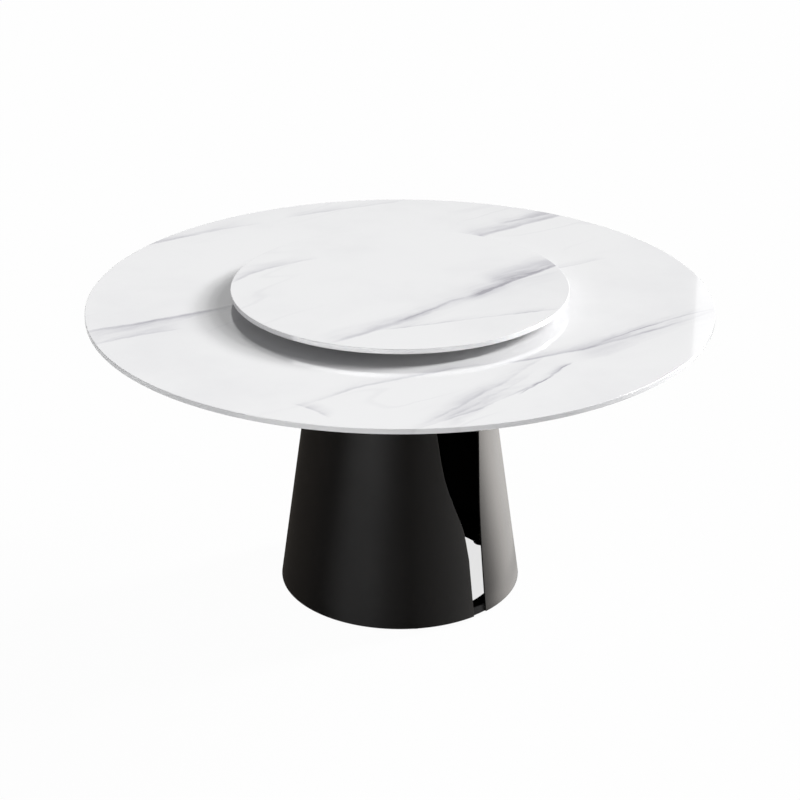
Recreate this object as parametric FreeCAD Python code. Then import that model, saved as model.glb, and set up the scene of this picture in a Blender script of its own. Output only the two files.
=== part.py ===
import FreeCAD, Part
import math
import os

# Driving dimensions in millimetres, angles in degrees.
# Azimuths are counted from the front of the table (-Y) towards its right (+X).

# Tabletop
table_height = 750
top_diameter = 1500
slab_thickness = 12
slab_arris = 1.2
board_diameter = 1100
board_thickness = 18
board_bevel = 12

# Conical base
base_diameter = 600
neck_diameter = 400
sheet_thickness = 4
slot_azimuth = 41
seam_gap = 0.6
flange_height = 18
flange_wall = 4
shell_fit = 0.3

# Slot outline, from the slot's centre line: heights are shares of the cone's height,
# reaches are shares of the way from the slot's bottom edge to its top edge
slot_bottom_width = 40
slot_left_reach = 86
slot_right_reach = 78
slot_straight_share = 0.21
slot_left_shares = ((0.316, 0.136), (0.41, 0.43), (0.5, 0.68), (0.588, 0.79), (1, 1))
slot_right_shares = ((0.25, 0.08), (0.4, 0.185), (0.63, 0.5), (1, 1))

# Bottom ring, top plate and support posts
ring_width = 50
ring_thickness = 4
plate_overhang = 60
plate_thickness = 4
post_width = 30
post_wall = 2
post_clearance = 3
post_offsets_angle = (60, 120, -120, -60)

# Weld studs and nuts that hold the shells
stud_diameter = 6
stud_length = 14
stud_clearance = 0.4
stud_offsets_angle = (35, 90, 165)
nut_width = 10
nut_height = 5
nut_seat = 0.3
strip_thickness = 3
strip_half_angle = 5
strip_stud_angle = 3
strip_end_gap = 12
strip_stud_shares = (0.12, 0.5, 0.88)

# Bolts between the top plate and the board
bolt_offset = 30
bolt_count = 8
bolt_diameter = 8
bolt_clearance = 0.5
bolt_grip = 13
bolt_head_width = 13
bolt_head_height = 5.3
washer_diameter = 17
washer_thickness = 1.6
insert_diameter = 12
insert_length = 14
insert_fit = 0.1

# Levelling feet
foot_height = 10
foot_count = 6
foot_inset = 28
foot_first_angle = 27
foot_diameter = 36
foot_bevel = 2
foot_floor = 4
foot_stud_diameter = 10
foot_stud_spare = 6
foot_stud_fit = 0.1
foot_thread_clearance = 0.25
foot_hole_clearance = 0.5
foot_nut_width = 17
foot_nut_height = 8

# Lazy susan disc and its pads
disc_diameter = 810
disc_thickness = 12
disc_arris = 1.2
disc_gap = 23
pad_diameter = 16
pad_thickness = 3
pad_count = 8

# Turntable bearing
ball_circle = 340
ball_diameter = 8
ball_count = 24
ball_clearance = 0.25
race_width = 23.5
race_gap = 3
race_relief = 1.5
cage_thickness = 2
cage_height = 11
cap_screw_count = 8
cap_screw_diameter = 3
cap_screw_depth = 5
cap_screw_clearance = 0.2
cap_screw_head_diameter = 5.5
cap_screw_head_height = 1.6

# Overrun of every cutting tool past the face it cuts
overrun = 5

full_turn = 360
half_turn = 180
quarter_turn = 90
hexagon_sides = 6

Vector = FreeCAD.Vector
origin = Vector(0, 0, 0)
axis = Vector(0, 0, 1)

# Heights of the faces that pieces share
base_bottom = foot_height
ring_top = base_bottom + ring_thickness
slab_bottom = table_height - slab_thickness
board_bottom = slab_bottom - board_thickness
base_top = board_bottom - plate_thickness
disc_bottom = table_height + disc_gap
lower_race_bottom = table_height + pad_thickness
upper_race_top = disc_bottom - pad_thickness
upper_race_bottom = lower_race_bottom + race_relief
race_cap_top = upper_race_top - race_relief
ball_height = (lower_race_bottom + upper_race_top) / 2

# The cone that the shells follow
base_radius = base_diameter / 2
neck_radius = neck_diameter / 2
plate_radius = neck_radius + plate_overhang
bolt_radius = neck_radius + bolt_offset
cone_height = base_top - base_bottom
cone_lean = math.atan2(base_radius - neck_radius, cone_height)
seam_azimuth = slot_azimuth + half_turn


def leaning(thickness):
    """Horizontal width of a wall of this thickness that leans with the cone."""
    return thickness / math.cos(cone_lean)


def cone_radius(height):
    """Radius of the shells' outer face at this height."""
    return base_radius - (height - base_bottom) * math.tan(cone_lean)


def lining_radius(height):
    """Radius of what lies inside the shells, against their inner face."""
    return cone_radius(height) - leaning(sheet_thickness + shell_fit)


def flange_radius(height):
    """Radius of the inner face of the ring's and the plate's flanges."""
    return lining_radius(height) - leaning(flange_wall)


def turned(shape, azimuth):
    """Copy of a shape drawn towards +X, turned to an azimuth."""
    copy = shape.copy()
    copy.rotate(origin, axis, azimuth - quarter_turn)
    return copy


def around(shape, azimuths):
    """Copies of a shape drawn towards +X, one at each azimuth."""
    return [turned(shape, azimuth) for azimuth in azimuths]


def spaced(count, first=0):
    """Azimuths of this many copies spaced evenly round the table."""
    return [first + index * full_turn / count for index in range(count)]


def polygon_face(points):
    """Flat face inside a closed run of straight edges."""
    return Part.Face(Part.makePolygon(points + points[:1]))


def lathe(profile, sweep=full_turn):
    """Turn a closed outline of (radius, height) points about the table's axis, from +X."""
    face = polygon_face([Vector(radius, 0, height) for radius, height in profile])
    return face.revolve(origin, axis, sweep)


def band(inner, outer, low, high):
    """Plain ring between two radii and two heights."""
    return lathe([(inner, low), (outer, low), (outer, high), (inner, high)])


def rod(diameter, low, high, radius=0):
    """Upright cylinder on the +X axis at a distance from the table's axis."""
    return Part.makeCylinder(diameter / 2, high - low, Vector(radius, 0, low))


def hexagon(width, low, high, radius=0):
    """Upright hexagonal prism, given its width across the flats."""
    corner = width / 2 / math.cos(math.pi / hexagon_sides)
    points = []
    for side in range(hexagon_sides):
        turn = math.pi * (2 * side + 1) / hexagon_sides
        points.append(Vector(radius + corner * math.cos(turn), corner * math.sin(turn), low))
    return polygon_face(points).extrude(axis * (high - low))


def disc_with_arris(diameter, low, high, arris):
    """Round slab whose two rim edges are broken."""
    radius = diameter / 2
    return lathe([(0, low), (radius - arris, low), (radius, low + arris),
                  (radius, high - arris), (radius - arris, high), (0, high)])


def square_to_cone(shape, radius, height):
    """Stand an upright shape square to the cone, pointing outwards, at a radius and height."""
    copy = shape.copy()
    copy.rotate(origin, Vector(0, 1, 0), quarter_turn - math.degrees(cone_lean))
    copy.translate(Vector(radius, 0, height))
    return copy


# Base: two half-shells, their studs and what they close on
ring_bore_radius = lining_radius(base_bottom) - ring_width
foot_radius = lining_radius(base_bottom) - foot_inset
foot_azimuths = spaced(foot_count, slot_azimuth + foot_first_angle)
ring_stud_height = (ring_top + base_bottom + flange_height) / 2
plate_stud_height = base_top - flange_height / 2
strip_low = base_bottom + flange_height + strip_end_gap
strip_high = base_top - flange_height - strip_end_gap
stud_azimuths = {
    1: [slot_azimuth + offset for offset in stud_offsets_angle],
    -1: [slot_azimuth - offset for offset in stud_offsets_angle],
}


def strip_stud_heights():
    """Heights of the studs beside the rear seam."""
    return [strip_low + share * (strip_high - strip_low) for share in strip_stud_shares]


def stud_places(side):
    """Azimuth and height of each weld stud of the shell on one side, with what it passes through."""
    places = []
    for azimuth in stud_azimuths[side]:
        places.append((azimuth, ring_stud_height, flange_wall))
        places.append((azimuth, plate_stud_height, flange_wall))
    for height in strip_stud_heights():
        places.append((seam_azimuth - side * strip_stud_angle, height, strip_thickness))
    return places


def weld_stud():
    """Weld stud, drawn upright with its root inside the sheet above height zero."""
    root = sheet_thickness / 2
    return rod(stud_diameter, root - stud_length, root)


def stud_hole():
    """Tool for the hole round a weld stud in what the stud passes through."""
    reach = flange_wall + overrun
    return rod(stud_diameter + 2 * stud_clearance, -reach, reach)


def shell_nut(wall):
    """Nut under a wall of this thickness, drawn upright round a weld stud."""
    high = -leaning(shell_fit + wall) - nut_seat
    low = high - nut_height
    bore = rod(stud_diameter + stud_clearance, low - overrun, high + overrun)
    return hexagon(nut_width, low, high).cut(bore)


def at_stud(shape, azimuth, height):
    """Stand a shape drawn about a weld stud at that stud's place on the shells' inner face."""
    inner_face = cone_radius(height) - leaning(sheet_thickness)
    return turned(square_to_cone(shape, inner_face, height), azimuth)


def slot_edge(side, bottom, reach, straight, shares):
    """Edges of one side of the slot, upwards: a straight foot, a curve and a run past the top."""
    def place(offset, height):
        return Vector(0, side * offset, height)

    foot = place(bottom, base_bottom + straight * cone_height)
    curve_points = [foot]
    for height_share, reach_share in shares:
        offset = bottom + reach_share * (reach - bottom)
        curve_points.append(place(offset, base_bottom + height_share * cone_height))
    curve = Part.BSplineCurve()
    curve.interpolate(curve_points)
    return [
        Part.LineSegment(place(bottom, base_bottom - overrun), foot).toShape(),
        curve.toShape(),
        Part.LineSegment(curve_points[-1], place(reach, base_top + overrun)).toShape(),
    ]


def slot_tool():
    """Tool for the slot between the shells, drawn towards +X."""
    half_width = slot_bottom_width / 2
    left = slot_edge(-1, half_width, slot_left_reach, slot_straight_share, slot_left_shares)
    right = slot_edge(1, half_width, slot_right_reach, 0, slot_right_shares)
    low = base_bottom - overrun
    high = base_top + overrun
    sill = Part.LineSegment(Vector(0, -half_width, low), Vector(0, half_width, low)).toShape()
    head = Part.LineSegment(Vector(0, -slot_left_reach, high), Vector(0, slot_right_reach, high)).toShape()
    outline = Part.Wire(Part.__sortEdges__([sill, head] + left + right))
    return Part.Face(outline).extrude(Vector(base_radius + overrun, 0, 0))


def seam_tool():
    """Tool for the narrow rear joint of the shells, drawn towards +X."""
    corner = Vector(0, -seam_gap / 2, base_bottom - overrun)
    return Part.makeBox(base_radius + overrun, seam_gap, cone_height + 2 * overrun, corner)


def half_shell(side):
    """Half of the conical base: rolled sheet with its weld studs."""
    wall = leaning(sheet_thickness)
    sheet = lathe([(base_radius - wall, base_bottom), (base_radius, base_bottom),
                   (neck_radius, base_top), (neck_radius - wall, base_top)], half_turn)
    start = slot_azimuth if side > 0 else seam_azimuth
    sheet = turned(sheet, start)
    sheet = sheet.cut([turned(slot_tool(), slot_azimuth), turned(seam_tool(), seam_azimuth)])
    studs = [at_stud(weld_stud(), azimuth, height) for azimuth, height, _ in stud_places(side)]
    return sheet.fuse(studs).removeSplitter()


def flange_holes(height):
    """Tools for the holes that the weld studs pass through at one height."""
    azimuths = stud_azimuths[1] + stud_azimuths[-1]
    return [at_stud(stud_hole(), azimuth, height) for azimuth in azimuths]


def bottom_ring():
    """Flat ring under the posts with an upstand inside the shells."""
    high = base_bottom + flange_height
    ring = lathe([(ring_bore_radius, base_bottom), (lining_radius(base_bottom), base_bottom),
                  (lining_radius(high), high), (flange_radius(high), high),
                  (flange_radius(ring_top), ring_top), (ring_bore_radius, ring_top)])
    hole = rod(foot_stud_diameter + 2 * foot_hole_clearance, base_bottom - overrun,
               ring_top + overrun, foot_radius)
    return ring.cut(flange_holes(ring_stud_height) + around(hole, foot_azimuths))


def top_plate():
    """Round plate under the board with a collar inside the shells."""
    low = base_top - flange_height
    plate = lathe([(0, base_top), (flange_radius(base_top), base_top), (flange_radius(low), low),
                   (lining_radius(low), low), (lining_radius(base_top), base_top),
                   (plate_radius, base_top), (plate_radius, board_bottom), (0, board_bottom)])
    hole = rod(bolt_diameter + 2 * bolt_clearance, base_top - overrun, board_bottom + overrun,
               bolt_radius)
    return plate.cut(flange_holes(plate_stud_height) + around(hole, spaced(bolt_count)))


def seam_strip():
    """Rolled strip behind the rear joint of the shells."""
    wall = leaning(strip_thickness)
    low, high = strip_low, strip_high
    strip = lathe([(lining_radius(low) - wall, low), (lining_radius(low), low),
                   (lining_radius(high), high), (lining_radius(high) - wall, high)],
                  2 * strip_half_angle)
    strip = turned(strip, seam_azimuth - strip_half_angle)
    holes = []
    for side in (1, -1):
        for height in strip_stud_heights():
            holes.append(at_stud(stud_hole(), seam_azimuth + side * strip_stud_angle, height))
    return strip.cut(holes)


def support_post(azimuth):
    """Square tube that leans with the cone, from the bottom ring to the top plate."""
    centre = flange_radius(ring_top) - post_clearance - post_width / 2
    height = base_top - ring_top
    run = Vector(-height * math.tan(cone_lean), 0, height)

    def prism(width):
        half = width / 2
        corners = [Vector(centre + x * half, y * half, ring_top)
                   for x, y in ((-1, -1), (1, -1), (1, 1), (-1, 1))]
        return polygon_face(corners).extrude(run)

    return turned(prism(post_width).cut(prism(post_width - 2 * post_wall)), azimuth)


def shell_nuts():
    """One nut on each weld stud."""
    return [at_stud(shell_nut(wall), azimuth, height)
            for side in (1, -1) for azimuth, height, wall in stud_places(side)]


# Board and the bolts that hold it on the top plate
def backing_board():
    """Board under the slab, with its lower rim bevelled and sockets for the inserts."""
    radius = board_diameter / 2
    board = lathe([(0, board_bottom), (radius - board_bevel, board_bottom),
                   (radius, board_bottom + board_bevel), (radius, slab_bottom), (0, slab_bottom)])
    socket = rod(insert_diameter + 2 * insert_fit, board_bottom - overrun,
                 board_bottom + insert_length, bolt_radius)
    return board.cut(around(socket, spaced(bolt_count)))


def threaded_insert():
    """Sleeve in the board for a mounting bolt."""
    sleeve = rod(insert_diameter, board_bottom, board_bottom + insert_length, bolt_radius)
    bore = rod(bolt_diameter + 2 * insert_fit, board_bottom - overrun,
               board_bottom + insert_length + overrun, bolt_radius)
    return sleeve.cut(bore)


def mounting_washer():
    """Washer under the top plate."""
    low = base_top - washer_thickness
    washer = rod(washer_diameter, low, base_top, bolt_radius)
    return washer.cut(rod(bolt_diameter + bolt_clearance, low - overrun, base_top + overrun,
                          bolt_radius))


def mounting_bolt():
    """Hexagon bolt up through the top plate into an insert."""
    head_top = base_top - washer_thickness
    head = hexagon(bolt_head_width, head_top - bolt_head_height, head_top, bolt_radius)
    return head.fuse(rod(bolt_diameter, head_top, board_bottom + bolt_grip, bolt_radius))


# Levelling feet
foot_nut_top = ring_top + foot_nut_height


def foot_nut():
    """Weld nut on the bottom ring."""
    bore = rod(foot_stud_diameter + 2 * foot_thread_clearance, ring_top - overrun,
               foot_nut_top + overrun, foot_radius)
    return hexagon(foot_nut_width, ring_top, foot_nut_top, foot_radius).cut(bore)


def foot_pad():
    """Round pad on the floor, drawn in to meet the ring, with a socket for its stud."""
    radius = foot_diameter / 2
    pad = lathe([(0, 0), (radius - foot_bevel, 0), (radius, foot_bevel), (radius, foot_floor),
                 (radius - foot_bevel, foot_height), (0, foot_height)])
    pad.translate(Vector(foot_radius, 0, 0))
    socket = rod(foot_stud_diameter + 2 * foot_stud_fit, foot_floor, foot_height + overrun, foot_radius)
    return pad.cut(socket)


def foot_stud():
    """Stud of a foot, from its socket in the pad to above the weld nut."""
    return rod(foot_stud_diameter, foot_floor, foot_nut_top + foot_stud_spare, foot_radius)


# Turntable bearing: two rings that run on balls between them
ball_radius = ball_diameter / 2
ball_circle_radius = ball_circle / 2
outer_race_inner = ball_circle_radius + race_gap / 2
outer_race_outer = outer_race_inner + race_width
outer_race_middle = (outer_race_inner + outer_race_outer) / 2
inner_race_outer = ball_circle_radius - race_gap / 2
inner_race_inner = inner_race_outer - race_width
inner_race_middle = (inner_race_inner + inner_race_outer) / 2


def ball_track():
    """Tool for the groove that the balls run in."""
    centre = Vector(0, 0, ball_height)
    return Part.makeTorus(ball_circle_radius, ball_radius + ball_clearance, centre)


def cap_screw_hole():
    """Tool for the hole of a screw through the race cap into the lower race."""
    return rod(cap_screw_diameter + 2 * cap_screw_clearance, ball_height - cap_screw_depth,
               race_cap_top + overrun, outer_race_middle)


def outer_race(low, high):
    """One half of the outer ring of the bearing."""
    holes = around(cap_screw_hole(), spaced(cap_screw_count, half_turn / cap_screw_count))
    return band(outer_race_inner, outer_race_outer, low, high).cut([ball_track()] + holes)


def upper_race():
    """Inner ring of the bearing, which carries the disc."""
    return band(inner_race_inner, inner_race_outer, upper_race_bottom, upper_race_top).cut(ball_track())


def cap_screw():
    """Pan-head screw that holds the race cap down."""
    head_top = race_cap_top + cap_screw_head_height
    head = rod(cap_screw_head_diameter, race_cap_top, head_top, outer_race_middle)
    return head.fuse(rod(cap_screw_diameter, ball_height - cap_screw_depth, race_cap_top, outer_race_middle))


def ball_cage():
    """Thin band with a pocket for each ball."""
    inner = ball_circle_radius - cage_thickness / 2
    outer = ball_circle_radius + cage_thickness / 2
    low = ball_height - cage_height / 2
    pocket = Part.makeCylinder(ball_radius + ball_clearance, race_gap + 2 * overrun,
                               Vector(inner - overrun, 0, ball_height), Vector(1, 0, 0))
    return band(inner, outer, low, low + cage_height).cut(around(pocket, spaced(ball_count)))


def bearing_ball():
    """One ball in its track."""
    return Part.makeSphere(ball_radius, Vector(ball_circle_radius, 0, ball_height))


def pad(radius, low):
    """Soft pad under or over the bearing."""
    return rod(pad_diameter, low, low + pad_thickness, radius)


# Every node of the table, with its solid or its group of like solids
nodes = {
    "tabletop_slab": [disc_with_arris(top_diameter, slab_bottom, table_height, slab_arris)],
    "backing_board": [backing_board()],
    "threaded_inserts": around(threaded_insert(), spaced(bolt_count)),
    "mounting_bolts": around(mounting_bolt(), spaced(bolt_count)),
    "mounting_washers": around(mounting_washer(), spaced(bolt_count)),
    "top_plate": [top_plate()],
    "left_shell": [half_shell(-1)],
    "right_shell": [half_shell(1)],
    "seam_strip": [seam_strip()],
    "shell_nuts": shell_nuts(),
    "bottom_ring": [bottom_ring()],
    "foot_nuts": around(foot_nut(), foot_azimuths),
    "base_pads": around(pad(outer_race_middle, table_height), spaced(pad_count)),
    "lower_race": [outer_race(lower_race_bottom, ball_height)],
    "race_cap": [outer_race(ball_height, race_cap_top)],
    "cap_screws": around(cap_screw(), spaced(cap_screw_count, half_turn / cap_screw_count)),
    "ball_cage": [ball_cage()],
    "bearing_balls": around(bearing_ball(), spaced(ball_count)),
    "upper_race": [upper_race()],
    "disc_pads": around(pad(inner_race_middle, upper_race_top), spaced(pad_count)),
    "turntable_disc": [disc_with_arris(disc_diameter, disc_bottom, disc_bottom + disc_thickness, disc_arris)],
}
for number, offset in enumerate(post_offsets_angle, 1):
    nodes[f"support_post_{number}"] = [support_post(slot_azimuth + offset)]
for number, azimuth in enumerate(foot_azimuths, 1):
    nodes[f"foot_pad_{number}"] = [turned(foot_pad(), azimuth)]
    nodes[f"foot_stud_{number}"] = [turned(foot_stud(), azimuth)]

os.makedirs("parts", exist_ok=True)
for name, solids in nodes.items():
    shape = solids[0] if len(solids) == 1 else Part.makeCompound(solids)
    shape.exportStep(f"parts/{name}.step")
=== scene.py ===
"""Looks of the round dining table with a lazy susan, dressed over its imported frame."""

import logging
import math
from collections.abc import Iterable, Sequence
from dataclasses import dataclass, field
from enum import Enum

import bmesh
import bpy
from mathutils import Matrix, Vector


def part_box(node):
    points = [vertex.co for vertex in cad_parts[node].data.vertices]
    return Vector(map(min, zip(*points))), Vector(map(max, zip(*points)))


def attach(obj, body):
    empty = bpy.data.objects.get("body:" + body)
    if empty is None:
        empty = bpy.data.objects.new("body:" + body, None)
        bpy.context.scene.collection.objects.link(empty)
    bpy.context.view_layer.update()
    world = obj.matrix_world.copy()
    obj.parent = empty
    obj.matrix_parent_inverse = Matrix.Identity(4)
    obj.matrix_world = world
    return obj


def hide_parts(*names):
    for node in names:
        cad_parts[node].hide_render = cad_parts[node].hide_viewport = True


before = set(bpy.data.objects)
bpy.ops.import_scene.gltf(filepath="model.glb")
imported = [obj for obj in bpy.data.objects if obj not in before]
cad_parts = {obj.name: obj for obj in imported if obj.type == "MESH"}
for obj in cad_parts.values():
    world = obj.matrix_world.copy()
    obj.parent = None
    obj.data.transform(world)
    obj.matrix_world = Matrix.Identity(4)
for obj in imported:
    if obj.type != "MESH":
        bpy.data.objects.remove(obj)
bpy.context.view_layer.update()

LOG = logging.getLogger("dining_table")
MM = 0.001
ORIGIN = (0.0, 0.0, 0.0)
UP = (0.0, 0.0, 1.0)
HALF_TURN = math.pi
FULL_TURN = 2 * math.pi
WRAP_LIMIT = 1.5 * HALF_TURN
LEVEL = (1.0, 1.0, 0.0)
WHITE = (1.0, 1.0, 1.0)
BLACK = (0.0, 0.0, 0.0)
NOISE_MIDDLE = 0.5
NOISE_SPAN = (0.3, 0.7)
MERGE_DISTANCE = MM / 1000
FLAT_ANGLE = math.radians(0.5)
SHARP_ANGLE = math.radians(50)
EDGE_SEGMENTS = 3
BEVEL_PROFILE = 0.5
NORMAL_WEIGHT = 100
FOOT_COUNT = 6
BEAD_SIDES = 8
THREAD_DEPTH = 0.45
THREAD_CREST = (0.42, 0.58)
THREAD_STEPS = 20

Colour = tuple[float, float, float]
Place = tuple[float, float]
Triple = tuple[float, float, float]
Socket = bpy.types.NodeSocket
Value = float | Socket


class Slot(Enum):
    """Material slots of the record, which each finish is tagged with."""

    STONE = "white_stone"
    PLYWOOD = "plywood"
    SHEET = "black_sheet"
    FRAME = "black_frame"
    ZINC = "zinc_steel"
    RUBBER = "black_rubber"
    FOOT = "foot_plastic"
    RACE = "aluminium_race"
    NYLON = "white_nylon"
    BALL = "bright_steel"


class Side(Enum):
    """The two half-shells of the base, by the way round from the slot."""

    LEFT = -1
    RIGHT = 1


# Places and small shapes


def around(azimuth: float, radius: float, height: float) -> Vector:
    """Point at an azimuth in radians, counted from the front (-Y) towards the right (+X)."""
    return Vector((radius * math.sin(azimuth), -radius * math.cos(azimuth), height))


def rgba(colour: Colour) -> tuple[float, ...]:
    """Colour with full opacity."""
    return (*colour, 1.0)


def shade(colour: Colour, factor: float) -> Colour:
    """Colour made lighter or darker by a factor."""
    return tuple(channel * factor for channel in colour)


def tones(colour: Colour, reach: float) -> tuple[Colour, Colour]:
    """Two shades of a colour, darker and lighter by a share."""
    return shade(colour, 1.0 - reach), shade(colour, 1.0 + reach)


def threaded_rod(bm: bmesh.types.BMesh, place: Matrix, length: float, radius: float, pitch: float) -> None:
    """Add a rod with a screw thread, from the place's origin along its Z axis.

    Args:
        bm: mesh that takes the rod.
        place: where the rod stands.
        length: its length.
        radius: radius over the thread's crests.
        pitch: height of one turn of the thread.
    """
    root = radius - THREAD_DEPTH * pitch
    turns = math.ceil(length / pitch) + 2
    rod = bmesh.new()
    crest = [(radius, share * pitch) for share in THREAD_CREST]
    outline = ((root, 0.0), *crest, (root, pitch))
    verts = [rod.verts.new((across, 0.0, up)) for across, up in outline]
    edges = [rod.edges.new(pair) for pair in zip(verts, verts[1:])]
    bmesh.ops.spin(rod, geom=verts + edges, cent=ORIGIN, axis=UP, dvec=(0.0, 0.0, pitch / THREAD_STEPS),
                   angle=turns * FULL_TURN, steps=turns * THREAD_STEPS)
    bmesh.ops.remove_doubles(rod, verts=rod.verts, dist=MERGE_DISTANCE)
    for height, side in ((pitch, -1.0), (pitch + length, 1.0)):
        cut = bmesh.ops.bisect_plane(rod, geom=rod.verts[:] + rod.edges[:] + rod.faces[:],
                                     plane_co=(0.0, 0.0, height), plane_no=(0.0, 0.0, side),
                                     clear_outer=True)["geom_cut"]
        bmesh.ops.holes_fill(rod, edges=[item for item in cut if isinstance(item, bmesh.types.BMEdge)])
    bmesh.ops.recalc_face_normals(rod, faces=rod.faces)
    bmesh.ops.transform(rod, matrix=place @ Matrix.Translation((0.0, 0.0, -pitch)), verts=rod.verts)
    add_mesh(bm, rod)


def rope(bm: bmesh.types.BMesh, path: Sequence[Vector], radius: float, ripple: float = 0.0) -> None:
    """Add a round bead along a closed path that lies level.

    Args:
        bm: mesh that takes the bead.
        path: its centre line.
        radius: its radius.
        ripple: share by which every other ring of it is thinner.
    """
    bead = bmesh.new()
    rings = []
    for index, point in enumerate(path):
        ahead = path[(index + 1) % len(path)] - path[index - 1]
        across = Vector((ahead.y, -ahead.x, 0.0)).normalized()
        size = radius * (1.0 - ripple * (index % 2))
        turns = [FULL_TURN * corner / BEAD_SIDES for corner in range(BEAD_SIDES)]
        rings.append([bead.verts.new(point + size * (math.cos(turn) * across + math.sin(turn) * Vector(UP)))
                      for turn in turns])
    for near, far in zip(rings, rings[1:] + rings[:1]):
        for corner in range(BEAD_SIDES):
            following = (corner + 1) % BEAD_SIDES
            bead.faces.new((near[corner], near[following], far[following], far[corner]))
    bmesh.ops.recalc_face_normals(bead, faces=bead.faces)
    add_mesh(bm, bead)


def add_mesh(bm: bmesh.types.BMesh, part: bmesh.types.BMesh) -> None:
    """Add one mesh to another.

    Args:
        bm: mesh that takes the part.
        part: the part, which is freed.
    """
    spare = bpy.data.meshes.new("spare")
    part.to_mesh(spare)
    part.free()
    bm.from_mesh(spare)
    bpy.data.meshes.remove(spare)


def stand(bm: bmesh.types.BMesh, name: str) -> bpy.types.Object:
    """Stand a shape in the scene.

    Args:
        bm: the shape, which is freed.
        name: its name.

    Returns:
        The new object.
    """
    mesh = bpy.data.meshes.new(name)
    bm.to_mesh(mesh)
    bm.free()
    made = bpy.data.objects.new(name, mesh)
    bpy.context.scene.collection.objects.link(made)
    return made


def frame_radius(node: str) -> float:
    """Largest distance of a node's points from the table's axis."""
    return max(vert.co.to_2d().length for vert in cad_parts[node].data.vertices)


# Node graphs


class Graph:
    """Node tree of one finish, with short calls for the nodes that finishes share."""

    def __init__(self, tree: bpy.types.NodeTree) -> None:
        """Start on a tree whose default nodes are removed."""
        self.tree = tree
        self.tree.nodes.clear()

    def node(self, kind: str, inputs: dict[str | int, object] | None = None,
             **settings: object) -> bpy.types.Node:
        """Add a node.

        Args:
            kind: the node's type name.
            inputs: sockets or plain values for its inputs.
            settings: properties of the node.

        Returns:
            The new node.
        """
        node = self.tree.nodes.new(kind)
        for name, setting in settings.items():
            setattr(node, name, setting)
        for key, value in (inputs or {}).items():
            self.feed(node.inputs[key], value)
        return node

    def feed(self, socket: Socket, value: object) -> None:
        """Link a socket into an input, or set the input to a plain value.

        Args:
            socket: the input.
            value: the socket or value.
        """
        if isinstance(value, bpy.types.NodeSocket):
            self.tree.links.new(value, socket)
        else:
            socket.default_value = rgba(value) if socket.type == "RGBA" else value

    def coordinates(self) -> Socket:
        """Object coordinates, in metres in the table's frame."""
        return self.node("ShaderNodeTexCoord").outputs["Object"]

    def math(self, operation: str, first: Value, second: Value = 0.0, third: Value = 0.0) -> Socket:
        """Result of one operation of the Math node."""
        numbers = {0: first, 1: second, 2: third}
        return self.node("ShaderNodeMath", numbers, operation=operation).outputs["Value"]

    def vector(self, operation: str, first: object, second: object = ORIGIN) -> Socket:
        """Result of one operation of the Vector Math node, a number for a length."""
        node = self.node("ShaderNodeVectorMath", {0: first, 1: second}, operation=operation)
        return node.outputs["Value" if operation == "LENGTH" else "Vector"]

    def lay(self, place: Socket, turn: float, stretch: Sequence[float], start: Place = (0.0, 0.0)) -> Socket:
        """Coordinates laid along a level line from its start, with the stretch as their unit."""
        inputs = {"Vector": place, "Location": (*start, 0.0), "Rotation": (0.0, 0.0, turn), "Scale": stretch}
        return self.node("ShaderNodeMapping", inputs, vector_type="TEXTURE").outputs["Vector"]

    def noise(self, place: Socket, scale: float, detail: float = 2.0, roughness: float = 0.5,
              output: str = "Fac") -> Socket:
        """Noise texture with about so many features per metre."""
        inputs = {"Vector": place, "Scale": scale, "Detail": detail, "Roughness": roughness}
        return self.node("ShaderNodeTexNoise", inputs).outputs[output]

    def remap(self, value: Socket, low: float, high: float, to_low: float = 0.0,
              to_high: float = 1.0) -> Socket:
        """Map a range of numbers to another smoothly, held at its ends."""
        inputs = {"Value": value, "From Min": low, "From Max": high, "To Min": to_low, "To Max": to_high}
        return self.node("ShaderNodeMapRange", inputs, interpolation_type="SMOOTHSTEP").outputs["Result"]

    def ramp(self, value: Socket, stops: Sequence[tuple[float, Colour]]) -> Socket:
        """Colour ramp.

        Args:
            value: place on the ramp.
            stops: positions and colours.

        Returns:
            The colour.
        """
        node = self.node("ShaderNodeValToRGB", {"Fac": value})
        elements = node.color_ramp.elements
        while len(elements) < len(stops):
            elements.new(1.0)
        for element, (position, colour) in zip(elements, stops):
            element.position = position
            element.color = rgba(colour)
        return node.outputs["Color"]

    def mix(self, factor: Value, first: object, second: object) -> Socket:
        """Two colours mixed, by the share of the second."""
        inputs = {"Factor": factor, 6: first, 7: second}
        return self.node("ShaderNodeMix", inputs, data_type="RGBA").outputs[2]

    def split(self, vector: Socket) -> bpy.types.NodeOutputs:
        """The three numbers of a vector."""
        return self.node("ShaderNodeSeparateXYZ", {"Vector": vector}).outputs

    def bump(self, height: Socket, strength: float, distance: float) -> Socket:
        """Normal of a surface with fine relief, whose height is in metres."""
        inputs = {"Strength": strength, "Distance": distance, "Height": height}
        return self.node("ShaderNodeBump", inputs).outputs["Normal"]


class Coat(Graph):
    """Material with one Principled shader."""

    def __init__(self, name: str) -> None:
        """Make the material, its shader and its output.

        Args:
            name: the material's name.
        """
        self.material = bpy.data.materials.new(name)
        self.material.use_nodes = True
        super().__init__(self.material.node_tree)
        self.shader = self.node("ShaderNodeBsdfPrincipled")
        self.output = self.node("ShaderNodeOutputMaterial", {"Surface": self.shader.outputs["BSDF"]})

    def set(self, **values: object) -> None:
        """Set or link the shader's inputs, named with underscores for spaces."""
        for name, value in values.items():
            self.feed(self.shader.inputs[name.replace("_", " ")], value)


# Finishes


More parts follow.
